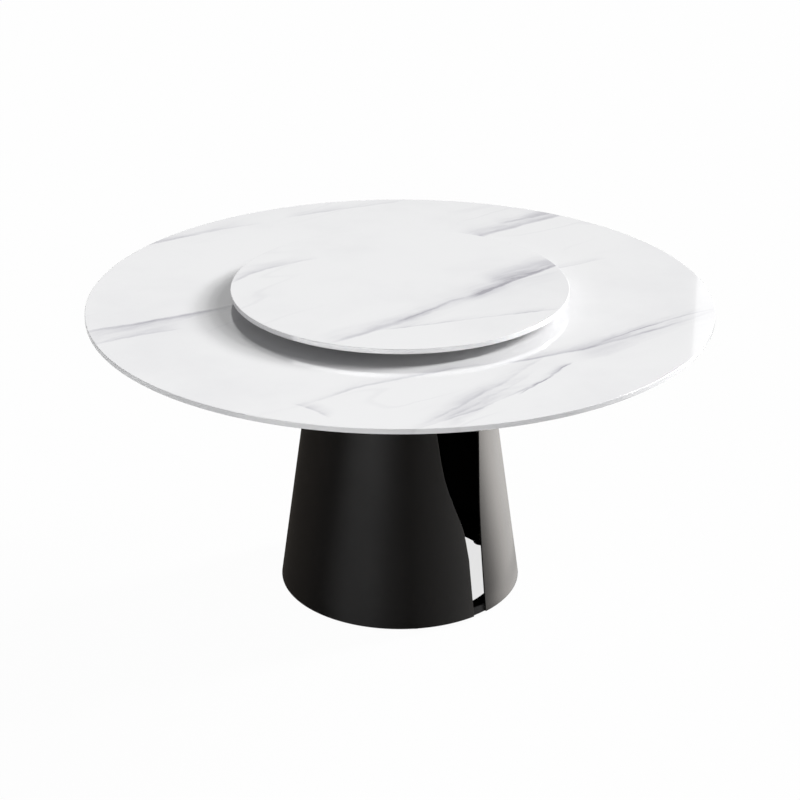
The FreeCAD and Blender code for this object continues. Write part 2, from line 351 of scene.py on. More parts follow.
@dataclass(frozen=True)
class Patches:
    """Noise that drifts between two levels over a surface, or is left plain where it has no span."""

    scale: float
    detail: float = 2.0
    levels: Place = (0.0, 1.0)
    span: Place | None = NOISE_SPAN
    roughness: float = 0.5
    rings: bool = False

    def add(self, coat: Coat, place: Socket, factor: float = 1.0) -> Socket:
        """Add the noise to a material.

        Args:
            coat: the material's graph.
            place: coordinates.
            factor: what the levels are multiplied by.

        Returns:
            The drifting number.
        """
        if self.rings:
            radius = coat.vector("LENGTH", coat.vector("MULTIPLY", place, LEVEL))
            place = coat.node("ShaderNodeCombineXYZ", {"X": radius}).outputs["Vector"]
        noise = coat.noise(place, self.scale, self.detail, self.roughness)
        if self.span is None:
            return noise
        return coat.remap(noise, *self.span, *(level * factor for level in self.levels))


@dataclass(frozen=True)
class Finish:
    """Look of one kind of surface, tagged with a slot of the record.

    A finish of this class itself is the frame's own material of that name.
    """

    name: str
    slot: Slot

    def material(self) -> bpy.types.Material:
        """The finish as a material, made once.

        Returns:
            The material.
        """
        if self.name not in bpy.data.materials:
            self.make(Coat(self.name))
        return bpy.data.materials[self.name]

    def make(self, coat: Coat) -> None:
        """Build the material's nodes."""
        raise NotImplementedError


@dataclass(frozen=True)
class Vein:
    """One vein of the stone, in metres on the face seen from above.

    The smoke lies on the left of the way from start to end, or on the right where its width is negative.
    """

    start: Place
    end: Place
    bow: float
    width: float
    line: float
    smoke: float


class VeinGroup(Graph):
    """Node group for the darkness of one vein: a thin line with smoke on one side."""

    NAME = "stone_vein"
    INPUTS = ("Bow", "Spread", "Line", "Smoke", "Break", "Cloud")
    MIDDLE = 0.5
    ENDS = ((0.0, 0.0), (0.14, 1.0), (0.8, 0.9), (1.0, 0.0))
    LINE = ((0.435, 0.0), (0.494, 0.66), (0.518, 0.58), (0.585, 0.0))
    SMOKE = ((0.44, 0.0), (0.51, 0.85), (0.62, 0.55), (0.8, 0.2), (1.0, 0.0))

    def __init__(self) -> None:
        """Make the group with its sockets and nodes."""
        tree = bpy.data.node_groups.new(self.NAME, "ShaderNodeTree")
        tree.interface.new_socket("Place", in_out="INPUT", socket_type="NodeSocketVector")
        for name in self.INPUTS:
            tree.interface.new_socket(name, in_out="INPUT", socket_type="NodeSocketFloat")
        tree.interface.new_socket("Dark", in_out="OUTPUT", socket_type="NodeSocketFloat")
        super().__init__(tree)
        given = self.node("NodeGroupInput").outputs
        along, across, _ = self.split(given["Place"])
        rise = self.math("MULTIPLY", along, self.math("SUBTRACT", 1.0, along))
        arch = self.math("MULTIPLY", rise, self.math("MULTIPLY", given["Bow"], 4.0))
        offset = self.math("SUBTRACT", across, arch)
        place = self.math("MULTIPLY_ADD", offset, given["Spread"], self.MIDDLE)
        line = self.math("MULTIPLY", self.grey_ramp(place, self.LINE), given["Line"])
        smoke = self.math("MULTIPLY", self.grey_ramp(place, self.SMOKE), given["Smoke"])
        line = self.math("MULTIPLY", line, given["Break"])
        smoke = self.math("MULTIPLY", smoke, given["Cloud"])
        dark = self.math("MULTIPLY", self.math("ADD", line, smoke), self.grey_ramp(along, self.ENDS))
        self.node("NodeGroupOutput", {"Dark": dark})

    def grey_ramp(self, value: Socket, stops: Sequence[Place]) -> Socket:
        """Ramp of greys, as numbers."""
        return self.ramp(value, [(position, (level,) * 3) for position, level in stops])


@dataclass(frozen=True)
class StoneFinish(Finish):
    """Polished white stone with soft grey veins."""

    veins: tuple[Vein, ...]
    white: Colour = (0.83, 0.83, 0.835)
    pale: Colour = (0.575, 0.57, 0.605)
    dark: Colour = (0.22, 0.212, 0.258)
    pale_depth: float = 0.35
    drifts: tuple[Triple, ...] = (
        (2.6, 2.0, 0.035), (13.0, 4.0, 0.016), (48.0, 3.0, 0.006))
    grain_turn: float = math.radians(38)
    grain_stretch: Triple = (2.6, 0.55, 1.0)
    breaks: Patches = Patches(9.0, 3.0, (0.2, 1.0), (0.36, 0.6))
    cloud: Patches = Patches(9.0, 6.0, (0.15, 1.0), (0.34, 0.66), 0.62)
    haze: Patches = Patches(3.2, 5.0, (0.0, 0.07), (0.42, 0.72), 0.55)
    hair_noise: Place = (2.4, 2.0)
    hair_width: float = 0.014
    hair_depth: float = 0.075
    hair_places: Patches = Patches(2.1, 1.0, span=(0.46, 0.66))
    gloss: Patches = Patches(24.0, 3.0, (0.045, 0.075))
    ripple_noise: Place = (7.0, 1.0)
    ripple: Place = (0.012, 0.002)
    polish_index: float = 1.7
    stone_index: float = 2.0

    def make(self, coat: Coat) -> None:
        """Stone whose veins and hairlines drift about their lines, under a clear polish.

        Args:
            coat: the material's graph.
        """
        place = coat.coordinates()
        drifted = place
        for scale, detail, reach in self.drifts:
            wave = coat.vector("SUBTRACT", coat.noise(place, scale, detail, output="Color"),
                               (NOISE_MIDDLE,) * 3)
            drifted = coat.vector("ADD", drifted, coat.vector("MULTIPLY", wave, (reach, reach, 0.0)))
        breaks = self.breaks.add(coat, place)
        streaks = coat.lay(drifted, self.grain_turn, self.grain_stretch)
        cloud = self.cloud.add(coat, streaks)
        hair = coat.math("SUBTRACT", coat.noise(streaks, *self.hair_noise), NOISE_MIDDLE)
        hair = coat.remap(coat.math("ABSOLUTE", hair), 0.0, self.hair_width, self.hair_depth, 0.0)
        dark = coat.math("MULTIPLY", hair, self.hair_places.add(coat, drifted))
        for vein in self.veins:
            dark = coat.math("ADD", dark, self.vein_darkness(coat, vein, drifted, breaks, cloud))
        depth = coat.math("MINIMUM", coat.math("ADD", dark, self.haze.add(coat, place)), 1.0)
        colour = coat.ramp(depth, ((0.0, self.white), (self.pale_depth, self.pale), (1.0, self.dark)))
        ripple = coat.noise(place, *self.ripple_noise)
        coat.set(Base_Color=colour, Roughness=self.gloss.add(coat, place), IOR=self.stone_index,
                 Coat_Weight=1.0, Coat_IOR=self.polish_index, Normal=coat.bump(ripple, *self.ripple))

    @staticmethod
    def vein_darkness(coat: Coat, vein: Vein, place: Socket, breaks: Socket, cloud: Socket) -> Socket:
        """Darkness of one vein.

        Args:
            coat: the material's graph.
            vein: the vein.
            place: drifted coordinates.
            breaks: where the line fades.
            cloud: where the smoke fades.

        Returns:
            Darkness from 0.
        """
        run = Vector(vein.end) - Vector(vein.start)
        laid = coat.lay(place, math.atan2(run.y, run.x), (run.length, 1.0, 1.0), vein.start)
        group = bpy.data.node_groups.get(VeinGroup.NAME) or VeinGroup().tree
        node = coat.node("ShaderNodeGroup", {
            "Place": laid, "Bow": vein.bow, "Spread": VeinGroup.MIDDLE / vein.width, "Line": vein.line,
            "Smoke": vein.smoke, "Break": breaks, "Cloud": cloud}, node_tree=group)
        return node.outputs["Dark"]


@dataclass(frozen=True)
class GrainFinish(Finish):
    """Surface of two tones with a fine grain. As it stands, it is baked paint."""

    colours: tuple[Colour, Colour]
    roughness: float
    grain_strength: float
    tone: Patches = Patches(4.0, 4.0, span=None)
    gloss: Patches = Patches(9.0, 5.0, (0.92, 1.1), roughness=0.6)
    grain: Patches = Patches(650.0, span=None)
    grain_height: float = 0.2 * MM
    metallic: float = 0.0
    specular: float = 0.5

    def make(self, coat: Coat) -> None:
        """Surface whose tone and gloss drift a little."""
        place = coat.coordinates()
        coat.set(Base_Color=coat.mix(self.tone.add(coat, place), *self.colours), Metallic=self.metallic,
                 Roughness=self.gloss.add(coat, place, self.roughness), Specular_IOR_Level=self.specular,
                 Normal=coat.bump(self.grain.add(coat, place), self.grain_strength, self.grain_height))


@dataclass(frozen=True)
class MetalFinish(GrainFinish):
    """Bare or plated metal with patches of a second tone."""

    tone: Patches = Patches(60.0, 4.0, span=(0.35, 0.65))
    gloss: Patches = Patches(210.0, 3.0, (0.8, 1.25))
    grain: Patches = Patches(1400.0, span=None)
    grain_height: float = 0.1 * MM
    metallic: float = 1.0


@dataclass(frozen=True)
class TurnedFinish(MetalFinish):
    """Metal ring with the marks of the lathe round the table's axis."""

    tone: Patches = Patches(35.0, 3.0, span=None)
    gloss: Patches = Patches(1500.0, levels=(0.8, 1.2), rings=True)
    grain: Patches = Patches(1500.0, span=None, rings=True)


@dataclass(frozen=True)
class MouldedFinish(GrainFinish):
    """Dull moulded rubber or plastic."""

    tone: Patches = Patches(30.0, 4.0, span=None)
    gloss: Patches = Patches(900.0, 3.0, (0.92, 1.08))
    grain: Patches = Patches(900.0, 3.0, span=None)
    grain_height: float = 0.3 * MM


@dataclass(frozen=True)
class PlywoodFinish(Finish):
    """Sealed plywood: veneer grain on the faces and plies on the rim."""

    light: Colour = (0.52, 0.37, 0.22)
    dark: Colour = (0.33, 0.21, 0.11)
    ply_count: float = 9.0
    ply_span: Place = (0.35, 0.65)
    rim_shades: Place = (0.85, 0.75)
    bottom: float = 720 * MM
    thickness: float = 18 * MM
    face_span: Place = (0.75, 0.95)
    grain_stretch: Triple = (1.6, 26.0, 1.0)
    grain_noise: Triple = (3.0, 6.0, 0.62)
    grain_span: Place = (0.3, 0.72)
    pore_stretch: Triple = (40.0, 900.0, 1.0)
    pore_span: Place = (0.58, 0.72)
    pore_depth: float = 0.35
    pore_shade: float = 0.6
    gloss: Place = (0.48, 0.62)
    relief: Place = (0.12, 0.4 * MM)

    def make(self, coat: Coat) -> None:
        """Grain stretched along the board, and plies by height where the rim shows.

        Args:
            coat: the material's graph.
        """
        place = coat.coordinates()
        grain = coat.noise(coat.vector("MULTIPLY", place, self.grain_stretch), *self.grain_noise)
        pores = coat.noise(coat.vector("MULTIPLY", place, self.pore_stretch), 1.0)
        veneer = coat.mix(coat.remap(grain, *self.grain_span), self.light, self.dark)
        veneer = coat.mix(coat.remap(pores, *self.pore_span, 0.0, self.pore_depth), veneer,
                          shade(self.dark, self.pore_shade))
        level = coat.math("SUBTRACT", coat.split(place)[2], self.bottom)
        ply = coat.math("PINGPONG", coat.math("MULTIPLY", level, self.ply_count / self.thickness), 1.0)
        rim = coat.mix(coat.remap(ply, *self.ply_span), shade(self.light, self.rim_shades[0]),
                       shade(self.dark, self.rim_shades[1]))
        upright = coat.math("ABSOLUTE", coat.split(coat.node("ShaderNodeNewGeometry").outputs["Normal"])[2])
        coat.set(Base_Color=coat.mix(coat.remap(upright, *self.face_span), rim, veneer),
                 Roughness=coat.remap(grain, *NOISE_SPAN, *self.gloss),
                 Normal=coat.bump(grain, *self.relief))


TABLETOP_VEINS = (
    Vein((0.20, -0.42), (0.77, -0.065), -0.026, 0.045, 0.55, 0.5),
    Vein((0.45, -0.285), (0.77, -0.06), 0.012, 0.025, 0.65, 0.5),
    Vein((-0.24, -0.645), (0.28, -0.38), 0.034, 0.045, 0.2, 0.32),
    Vein((0.03, -0.74), (0.33, -0.35), -0.015, 0.04, 0.22, 0.3),
    Vein((0.09, -0.70), (0.30, -0.44), -0.01, 0.03, 0.14, 0.22),
    Vein((0.0, -0.765), (0.39, -0.39), -0.03, 0.03, 0.3, 0.35),
    Vein((0.25, -0.58), (0.385, -0.395), 0.0, 0.02, 0.55, 0.6),
    Vein((0.28, -0.532), (0.338, -0.465), 0.0, 0.014, 0.5, 0.75),
    Vein((0.325, -0.468), (0.382, -0.405), 0.0, 0.014, 0.4, 0.7),
    Vein((0.09, -0.745), (0.30, -0.47), 0.0, 0.12, 0.0, 0.34),
    Vein((-0.235, -0.615), (-0.15, -0.69), 0.008, 0.04, 0.15, 0.45),
    Vein((-0.77, -0.23), (-0.34, -0.01), -0.012, -0.07, 0.42, 0.76),
    Vein((-0.72, -0.305), (-0.50, -0.19), 0.006, 0.05, 0.1, 0.62),
    Vein((0.17, 0.415), (0.47, 0.66), 0.0, 0.08, 0.5, 0.85),
    Vein((0.26, 0.54), (0.44, 0.66), 0.0, 0.06, 0.1, 0.6),
    Vein((0.36, 0.19), (0.52, 0.28), 0.0, 0.03, 0.12, 0.3),
    Vein((-0.68, 0.36), (-0.36, 0.56), 0.01, 0.06, 0.3, 0.5),
    Vein((-0.31, 0.60), (0.03, 0.75), 0.0, 0.05, 0.12, 0.3),
    Vein((0.38, -0.40), (0.76, -0.10), 0.0, 0.16, 0.0, 0.18),
    Vein((0.38, -0.34), (0.76, -0.04), 0.0, -0.16, 0.0, 0.18),
)
DISC_VEINS = (
    Vein((-0.18, -0.40), (0.30, 0.052), 0.003, 0.06, 0.2, 0.26),
    Vein((-0.02, -0.25), (0.26, 0.0), 0.006, -0.05, 0.2, 0.5),
    Vein((0.165, -0.09), (0.43, 0.186), -0.004, 0.05, 0.5, 0.85),
    Vein((0.235, -0.015), (0.43, 0.186), 0.0, 0.095, 0.0, 1.0),
    Vein((0.15, -0.085), (0.41, 0.11), 0.0, -0.07, 0.0, 0.22),
    Vein((-0.05, -0.285), (0.40, -0.15), 0.0, 0.026, 0.32, 0.42),
    Vein((-0.41, 0.0), (-0.19, 0.19), 0.03, 0.05, 0.25, 0.4),
    Vein((-0.15, -0.37), (0.10, -0.15), 0.0, 0.07, 0.05, 0.36),
)

TABLETOP_STONE = StoneFinish("tabletop_stone", Slot.STONE, TABLETOP_VEINS)
DISC_STONE = StoneFinish("disc_stone", Slot.STONE, DISC_VEINS)
SHEET_PAINT = GrainFinish("satin_black_sheet", Slot.SHEET, tones((0.0078, 0.0072, 0.0068), 0.2), 0.24, 0.05)
FRAME_PAINT = GrainFinish("matt_black_frame", Slot.FRAME, tones((0.008, 0.008, 0.0085), 0.2), 0.58, 0.1,
                          grain=Patches(420.0, span=None), specular=0.2)
BOARD_PLYWOOD = PlywoodFinish("sealed_plywood", Slot.PLYWOOD)
ZINC_PLATE = MetalFinish("zinc_plate", Slot.ZINC, ((0.60, 0.61, 0.64), (0.66, 0.63, 0.56)), 0.3, 0.04)
RACE_METAL = TurnedFinish("turned_aluminium", Slot.RACE, ((0.72, 0.73, 0.75), (0.66, 0.67, 0.69)), 0.3,
                          0.1)
BALL_STEEL = MetalFinish("ball_steel", Slot.BALL, ((0.70, 0.71, 0.72), (0.64, 0.65, 0.67)), 0.1, 0.01)
CAGE_NYLON = MouldedFinish("cage_nylon", Slot.NYLON, tones((0.70, 0.69, 0.65), 0.18), 0.45, 0.04)
PAD_RUBBER = MouldedFinish("pad_rubber", Slot.RUBBER, tones((0.018, 0.018, 0.019), 0.18), 0.75, 0.15)
FOOT_PLASTIC = Finish("foot_plastic", Slot.FOOT)


# Pieces

Dressing = tuple[tuple[str, Finish], ...]


@dataclass
class Assembly:
    """Group of pieces on one body of the table."""

    body: str = "table"
    nodes: Dressing = ()
    pieces: list[bpy.types.Object] = field(default_factory=list)
    smooth_angle: float = math.radians(32)

    def build(self) -> None:
        """Dress the nodes that keep their shape."""
        for node, finish in self.nodes:
            self.smooth_copy(node, finish)

    def piece(self, bm: bmesh.types.BMesh, name: str, finish: Finish,
              replaced: Iterable[str] = ()) -> bpy.types.Object:
        """Turn a finished bmesh into a piece that rides on the body.

        Args:
            bm: the shape, which is freed.
            name: the piece's name.
            finish: its finish.
            replaced: nodes that it stands for.

        Returns:
            The piece.
        """
        for face in bm.faces:
            face.smooth = True
        for edge in bm.edges:
            edge.smooth = edge.calc_face_angle(0.0) < self.smooth_angle
        made = stand(bm, name)
        made.data.materials.append(finish.material())
        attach(made, self.body)
        if replaced:
            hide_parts(*replaced)
        self.pieces.append(made)
        return made

    def smooth_copy(self, node: str, finish: Finish, edge: float = 0.0) -> None:
        """Stand a merged, smooth copy of a node in its place.

        Args:
            node: the node's name.
            finish: its finish.
            edge: how far its sharp edges are rounded.
        """
        bm = bmesh.new()
        bm.from_mesh(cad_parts[node].data)
        bmesh.ops.remove_doubles(bm, verts=bm.verts, dist=MERGE_DISTANCE)
        if edge:
            bmesh.ops.dissolve_limit(bm, angle_limit=FLAT_ANGLE, verts=bm.verts, edges=bm.edges)
        made = self.piece(bm, f"{node}_smooth", finish, (node,))
        if edge:
            self.round_edges(made, edge)
        self.even_normals(made)

    @staticmethod
    def even_normals(made: bpy.types.Object) -> None:
        """Keep wide flat faces flat beside their small bevels.

        Args:
            made: the piece.
        """
        modifier = made.modifiers.new("even_normals", "WEIGHTED_NORMAL")
        modifier.weight = NORMAL_WEIGHT
        modifier.keep_sharp = True

    @staticmethod
    def round_edges(made: bpy.types.Object, edge: float) -> None:
        """Round a piece's sharp edges.

        Args:
            made: the piece.
            edge: how far they are rounded.
        """
        modifier = made.modifiers.new("rounded_edges", "BEVEL")
        modifier.width = edge
        modifier.segments = EDGE_SEGMENTS
        modifier.limit_method = "ANGLE"
        modifier.angle_limit = SHARP_ANGLE


@dataclass
class StoneDisc(Assembly):
    """Round stone slab with broken edges."""

    node: str = "tabletop_slab"
    name: str = "stone_tabletop"
    finish: Finish = TABLETOP_STONE
    arris: float = 1.2 * MM
    segments: int = 320
    arris_segments: int = 3

    def build(self) -> None:
        """Extrude a circle and round its two rim edges."""
        low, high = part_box(self.node)
        bm = bmesh.new()
        bmesh.ops.create_circle(bm, cap_ends=True, segments=self.segments, radius=high.x,
                                matrix=Matrix.Translation((0.0, 0.0, low.z)))
        raised = bmesh.ops.extrude_face_region(bm, geom=bm.faces[:])["geom"]
        corners = [item for item in raised if isinstance(item, bmesh.types.BMVert)]
        bmesh.ops.translate(bm, vec=(0.0, 0.0, high.z - low.z), verts=corners)
        bmesh.ops.recalc_face_normals(bm, faces=bm.faces)
        rims = [edge for edge in bm.edges if edge.calc_face_angle(0.0) > SHARP_ANGLE]
        bmesh.ops.bevel(bm, geom=rims, offset=self.arris, offset_type="OFFSET", affect="EDGES",
                        segments=self.arris_segments, profile=BEVEL_PROFILE, material=-1)
        self.even_normals(self.piece(bm, self.name, self.finish, (self.node,)))


@dataclass(frozen=True)
class SlotEdge:
    """One edge of the base's slot: a straight foot, then a curve up to the neck."""

    foot: float
    reach: float
    straight_share: float
    shares: tuple[Place, ...]

    def offset(self, share: float) -> float:
        """Distance of the edge from the slot's centre line.

        Args:
            share: height as a share of the cone's height.

        Returns:
            The distance in metres.
        """
        knots = [(self.straight_share, 0.0), *self.shares]
        if share <= self.straight_share:
            return self.foot
        index = next(i for i, knot in enumerate(knots) if share <= knot[0] or knot == knots[-1]) - 1
        (low, start), (high, end) = knots[index], knots[index + 1]
        span = high - low
        part = (share - low) / span
        first, last = (self.slope(knots, i) * span for i in (index, index + 1))
        reached = (start * (1 + 2 * part) * (1 - part) ** 2 + first * part * (1 - part) ** 2
                   + end * part ** 2 * (3 - 2 * part) - last * part ** 2 * (1 - part))
        return self.foot + reached * (self.reach - self.foot)

    @staticmethod
    def slope(knots: Sequence[Place], index: int) -> float:
        """Slope of the curve at one of its knots, from the knots beside it."""
        before, after = knots[max(index - 1, 0)], knots[min(index + 1, len(knots) - 1)]
        return (after[1] - before[1]) / (after[0] - before[0])


@dataclass
class ConicalBase(Assembly):
    """Pedestal: two rolled half-shells on a ring, a plate and four posts."""

    slot_azimuth: float = math.radians(41)
    sheet: float = 4 * MM
    seam_gap: float = 0.6 * MM
    edge_round: float = 0.5 * MM
    levels: int = 150
    steps: int = 120
    left_edge: SlotEdge = SlotEdge(
        20 * MM, 86 * MM, 0.21, ((0.316, 0.136), (0.41, 0.43), (0.5, 0.68), (0.588, 0.79), (1.0, 1.0)))
    right_edge: SlotEdge = SlotEdge(
        20 * MM, 78 * MM, 0.0, ((0.25, 0.08), (0.4, 0.185), (0.63, 0.5), (1.0, 1.0)))
    neck_radius: float = 200 * MM
    stud_radius: float = 3 * MM
    stud_root: float = 2 * MM
    stud_length: float = 14 * MM
    stud_turns: tuple[float, ...] = (35, 90, 165)
    stud_heights: tuple[float, ...] = (21 * MM, 707 * MM)
    seam_stud_turn: float = 3
    seam_stud_heights: tuple[float, ...] = (117.5 * MM, 363 * MM, 608.5 * MM)
    stud_pitch: float = 1 * MM
    post_count: int = 4
    post_edge: float = 1.6 * MM
    post_tolerance: float = 0.1 * MM
    weld_radius: float = 2.2 * MM
    weld_lift: float = 0.55 * MM
    weld_ripple: float = 0.16
    weld_steps: int = 14

    def build(self) -> None:
        """Make the shells and dress what they hide."""
        self.shell(Side.LEFT, "left_shell")
        self.shell(Side.RIGHT, "right_shell")
        self.studs()
        for node in ("bottom_ring", "top_plate", "seam_strip"):
            self.smooth_copy(node, FRAME_PAINT, self.edge_round)
        posts = [f"support_post_{number}" for number in range(1, self.post_count + 1)]
        for node in posts:
            self.smooth_copy(node, FRAME_PAINT, self.post_edge)
        self.welds(posts)
        self.smooth_copy("shell_nuts", ZINC_PLATE)

    def studs(self) -> None:
        """Weld studs of both shells, square to the cone."""
        low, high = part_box("left_shell")
        base_radius = frame_radius("left_shell")
        lean = math.atan2(base_radius - self.neck_radius, high.z - low.z)
        bm = bmesh.new()
        for side in Side:
            places = [(side.value * turn, height) for turn in self.stud_turns for height in self.stud_heights]
            seam_turn = side.value * (180 - self.seam_stud_turn)
            places += [(seam_turn, height) for height in self.seam_stud_heights]
            for turn, height in places:
                azimuth = self.slot_azimuth + math.radians(turn)
                face = base_radius - (height - low.z) * math.tan(lean) - self.sheet / math.cos(lean)
                outward = around(azimuth, math.cos(lean), math.sin(lean))
                start = around(azimuth, face, height) + self.stud_root * outward
                place = Matrix.Translation(start) @ (-outward).to_track_quat("Z", "Y").to_matrix().to_4x4()
                threaded_rod(bm, place, self.stud_length, self.stud_radius, self.stud_pitch)
        self.piece(bm, "shell_studs", ZINC_PLATE)

    def welds(self, posts: Sequence[str]) -> None:
        """Weld beads round both ends of the posts.

        Args:
            posts: the posts' nodes.
        """
        bm = bmesh.new()
        for node in posts:
            corners = [vert.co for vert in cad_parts[node].data.vertices]
            low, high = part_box(node)
            for height, inside in ((low.z, 1), (high.z, -1)):
                ring = [corner for corner in corners if abs(corner.z - height) < self.post_tolerance]
                middle = sum(ring, Vector()) / len(ring)
                outer = max((corner - middle).length for corner in ring) / math.sqrt(2)
                radial = Vector((middle.x, middle.y, 0.0)).normalized()
                aside = Vector((-radial.y, radial.x, 0.0))
                lift = Vector((0.0, 0.0, inside * self.weld_lift))
                turns = ((1, -1), (1, 1), (-1, 1), (-1, -1))
                places = [middle + lift + outer * (out * radial + off * aside) for out, off in turns]
                path = [start.lerp(end, step / self.weld_steps)
                        for start, end in zip(places, places[1:] + places[:1])
                        for step in range(self.weld_steps)]
                rope(bm, path, self.weld_radius, self.weld_ripple)
        self.piece(bm, "post_welds", FRAME_PAINT)

    def shell(self, side: Side, node: str) -> None:
        """Roll one half-shell from the rear seam to its edge of the slot.

        Args:
            side: the half.
            node: the node that it stands for.
        """
        low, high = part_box(node)
        edge = self.left_edge if side is Side.LEFT else self.right_edge
        base_radius = frame_radius(node)
        seam = self.slot_azimuth + side.value * (HALF_TURN - self.seam_gap / 2 / base_radius)
        bm = bmesh.new()
        foot = bm.verts.new(around(seam, base_radius, low.z))
        neck = bm.verts.new(around(seam, self.neck_radius, high.z))
        line = bm.edges.new((foot, neck))
        bmesh.ops.subdivide_edges(bm, edges=[line], cuts=self.levels)
        bmesh.ops.spin(bm, geom=bm.verts[:] + bm.edges[:], cent=ORIGIN, axis=UP,
                       angle=-side.value * HALF_TURN, steps=self.steps)
        for vert in bm.verts:
            share = (vert.co.z - low.z) / (high.z - low.z)
            radius = vert.co.to_2d().length
            turn = side.value * (seam - math.atan2(vert.co.x, -vert.co.y)) % FULL_TURN
            turn = 0.0 if turn > WRAP_LIMIT else turn
            full = HALF_TURN - self.seam_gap / 2 / base_radius - math.asin(edge.offset(share) / radius)
            vert.co = around(seam - side.value * turn / HALF_TURN * full, radius, vert.co.z)
        bmesh.ops.recalc_face_normals(bm, faces=bm.faces)
        outward = next(iter(bm.faces))
        if outward.normal.dot(outward.calc_center_median().to_2d().to_3d()) < 0:
            bmesh.ops.reverse_faces(bm, faces=bm.faces)
        made = self.piece(bm, f"{node}_sheet", SHEET_PAINT, (node,))
        wall = made.modifiers.new("wall", "SOLIDIFY")
        wall.thickness = self.sheet
        wall.offset = -1.0
        self.round_edges(made, self.edge_round)
        self.even_normals(made)


@dataclass
class BoardMounting(Assembly):
    """Board under the slab, and the bolts that hold it on the pedestal."""

    nodes: Dressing = (
        ("threaded_inserts", ZINC_PLATE), ("mounting_bolts", ZINC_PLATE), ("mounting_washers", ZINC_PLATE))
    sealant_radius: float = 1.4 * MM
    sealant_steps: int = 240

    def build(self) -> None:
        """Dress the board, its bead of sealant and its fasteners."""
        self.smooth_copy("backing_board", BOARD_PLYWOOD)
        _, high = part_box("backing_board")
        bm = bmesh.new()
        turns = [FULL_TURN * step / self.sealant_steps for step in range(self.sealant_steps)]
        rope(bm, [around(turn, high.x, high.z - self.sealant_radius) for turn in turns], self.sealant_radius)
        self.piece(bm, "board_sealant", PAD_RUBBER)
        super().build()


@dataclass
class BearingSeat(Assembly):
    """Fixed half of the turntable bearing: pads, outer ring and its screws."""

    nodes: Dressing = (
        ("base_pads", PAD_RUBBER), ("lower_race", RACE_METAL), ("race_cap", RACE_METAL),
        ("cap_screws", ZINC_PLATE))


@dataclass
class BallCage(Assembly):
    """Cage and balls that roll at half the disc's turn."""

    body: str = "ball_cage"
    nodes: Dressing = (("ball_cage", CAGE_NYLON), ("bearing_balls", BALL_STEEL))


@dataclass
class DiscCarrier(Assembly):
    """Turning ring of the bearing and the pads under the disc."""

    body: str = "lazy_susan"
    nodes: Dressing = (("upper_race", RACE_METAL), ("disc_pads", PAD_RUBBER))


@dataclass
class FootNuts(Assembly):
    """Weld nuts on the ring for the feet."""

    nodes: Dressing = (("foot_nuts", ZINC_PLATE),)


@dataclass
class LevellingFoot(Assembly):
    """Screw foot under the bottom ring."""

    number: int = 1
    thread_pitch: float = 1.5 * MM

    def build(self) -> None:
        """Dress the pad and cut the stud's thread."""
        self.body = f"foot_{self.number}"
        self.smooth_copy(f"foot_pad_{self.number}", FOOT_PLASTIC)
        stud = f"foot_stud_{self.number}"
        low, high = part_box(stud)
        middle = (low + high) / 2
        bm = bmesh.new()
        threaded_rod(bm, Matrix.Translation((middle.x, middle.y, low.z)), high.z - low.z, middle.x - low.x,
                     self.thread_pitch)
        self.piece(bm, f"{stud}_thread", ZINC_PLATE, (stud,))


# Studio


